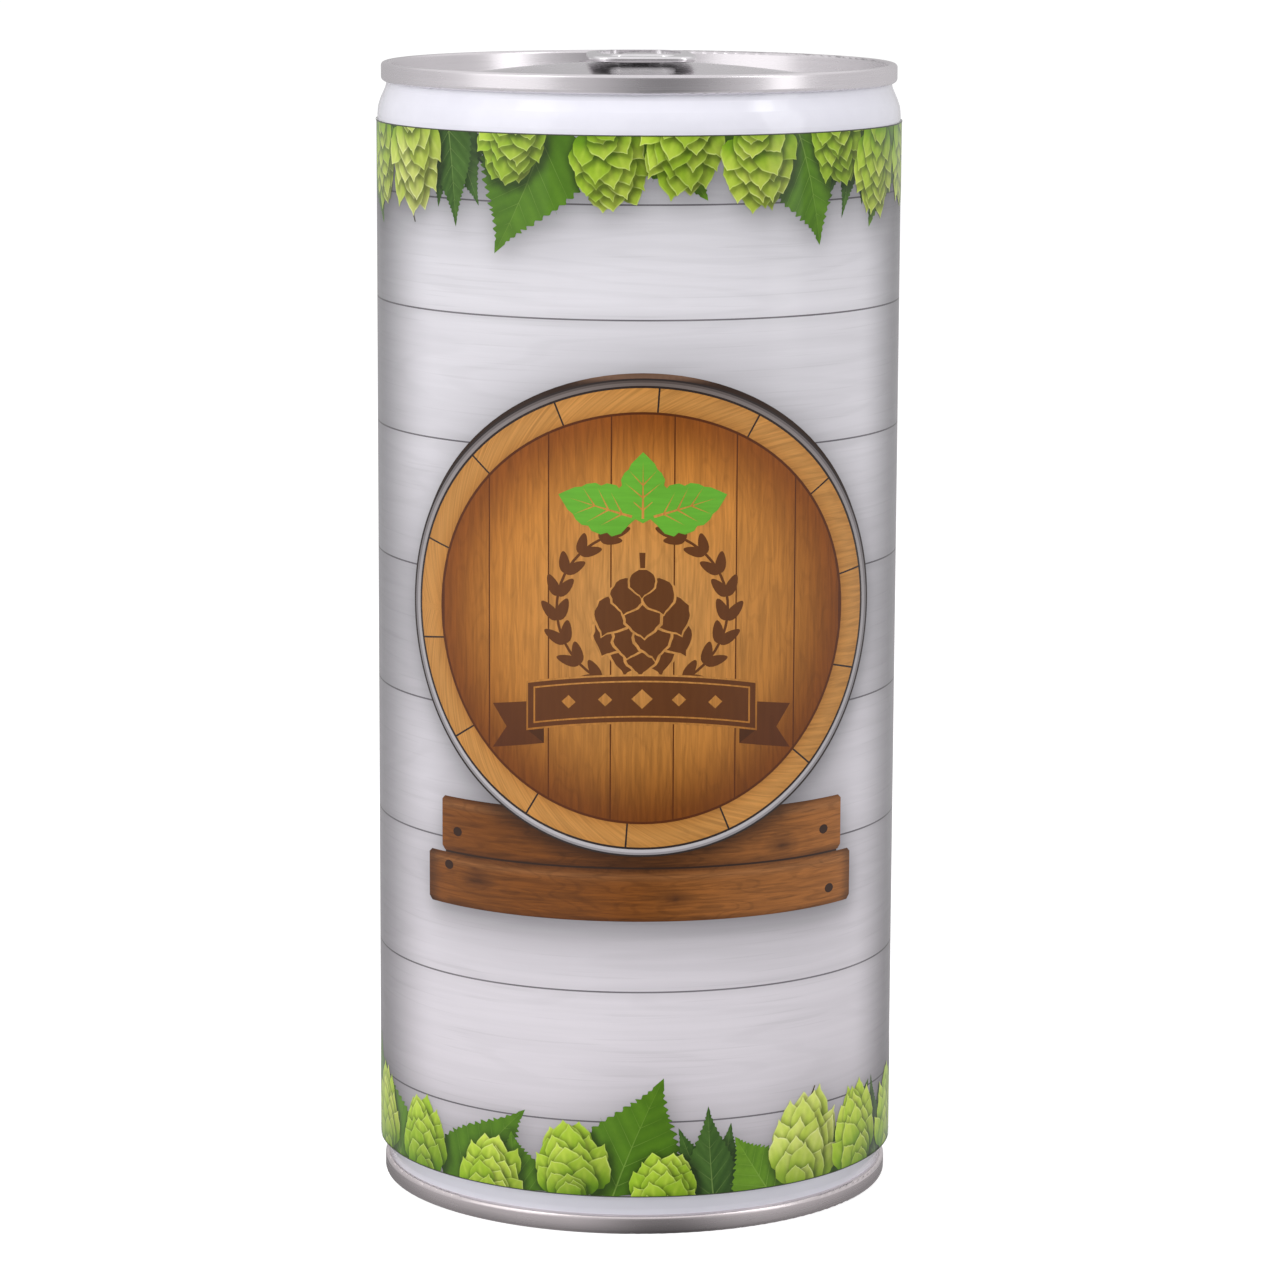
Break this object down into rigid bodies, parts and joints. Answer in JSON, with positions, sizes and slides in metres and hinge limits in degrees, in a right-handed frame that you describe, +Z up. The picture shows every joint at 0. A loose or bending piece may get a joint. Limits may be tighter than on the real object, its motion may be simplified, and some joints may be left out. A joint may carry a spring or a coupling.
{
  "type": "beer can",
  "caption": "Tall large-format steel drinks can, shut and full, with seamed ends, a stay-on pull tab and a wrap printed with pale planks, hop leaves and a wooden disc.",
  "frame": {"origin": "centre of the bottom seam's rim, on the surface that the can stands on", "axes": "+Z up along the can's axis, -Y towards the front of the print and the tab's lift end, +X to the right seen from the front"},
  "size_m": [0.0844, 0.0844, 0.1845],
  "materials": {
    "lacquer": "gloss white lacquer",
    "end_metal": "satin",
    "tab_metal": "bright rolled",
    "print": "semi-gloss printed film: pale planks, green hop leaves, brown wooden disc"
  },
  "bodies": {
    "root": {"can_body": "lacquer", "top_end": "end_metal", "bottom_end": "end_metal", "label": "print", "pull_tab": "tab_metal"}
  },
  "joints": []
}
